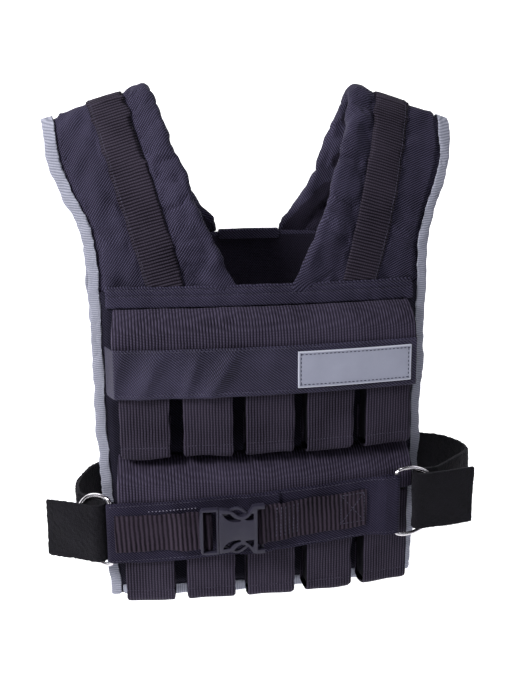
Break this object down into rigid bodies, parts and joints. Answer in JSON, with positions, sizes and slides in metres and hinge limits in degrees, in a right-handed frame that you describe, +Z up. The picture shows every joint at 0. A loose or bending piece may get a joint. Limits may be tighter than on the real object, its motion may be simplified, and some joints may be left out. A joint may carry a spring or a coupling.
{
  "type": "weighted vest",
  "caption": "Dark fabric weighted vest, with padded shoulder straps, two rows of weights in webbing loops, a buckled belt and hook-and-loop side straps on metal rings.",
  "frame": {"origin": "middle of the vest, between the shoulder straps, at the height of their highest line, where the vest sits on the shoulders", "axes": "+Z up, the vest's front faces -Y, +X to the right seen from the front"},
  "size_m": [0.4669, 0.1742, 0.5318],
  "materials": {
    "twill": "matte",
    "webbing": "matte",
    "fleece": "matte",
    "tape": "matte",
    "rubber": "satin",
    "plastic": "satin",
    "chrome": "polished"
  },
  "bodies": {
    "root": {"front_panel": "twill", "back_panel": "twill", "shoulder_strap_left": "twill", "shoulder_strap_right": "twill", "shoulder_webbing_left": "webbing", "shoulder_webbing_right": "webbing", "edge_binding_left": "tape", "edge_binding_right": "tape", "bottom_binding_front": "tape", "bottom_binding_back": "tape", "front_hem": "twill", "back_hem": "twill", "weight_upper_1": "twill", "weight_upper_2": "twill", "weight_upper_3": "twill", "weight_upper_4": "twill", "weight_upper_5": "twill", "weight_lower_1": "twill", "weight_lower_2": "twill", "weight_lower_3": "twill", "weight_lower_4": "twill", "weight_lower_5": "twill", "loop_upper_1": "webbing", "loop_upper_2": "webbing", "loop_upper_3": "webbing", "loop_upper_4": "webbing", "loop_upper_5": "webbing", "loop_lower_1": "webbing", "loop_lower_2": "webbing", "loop_lower_3": "webbing", "loop_lower_4": "webbing", "loop_lower_5": "webbing", "pocket_band_upper": "webbing", "pocket_band_lower": "webbing", "pocket_flap": "twill", "patch": "rubber", "belt_band_left": "twill", "belt_band_right": "twill", "belt_webbing_left": "webbing", "belt_webbing_right": "webbing", "buckle_prongs": "plastic", "buckle_socket": "plastic", "ring_left": "chrome", "ring_right": "chrome", "side_strap_left": "fleece", "side_strap_right": "fleece"}
  },
  "joints": []
}
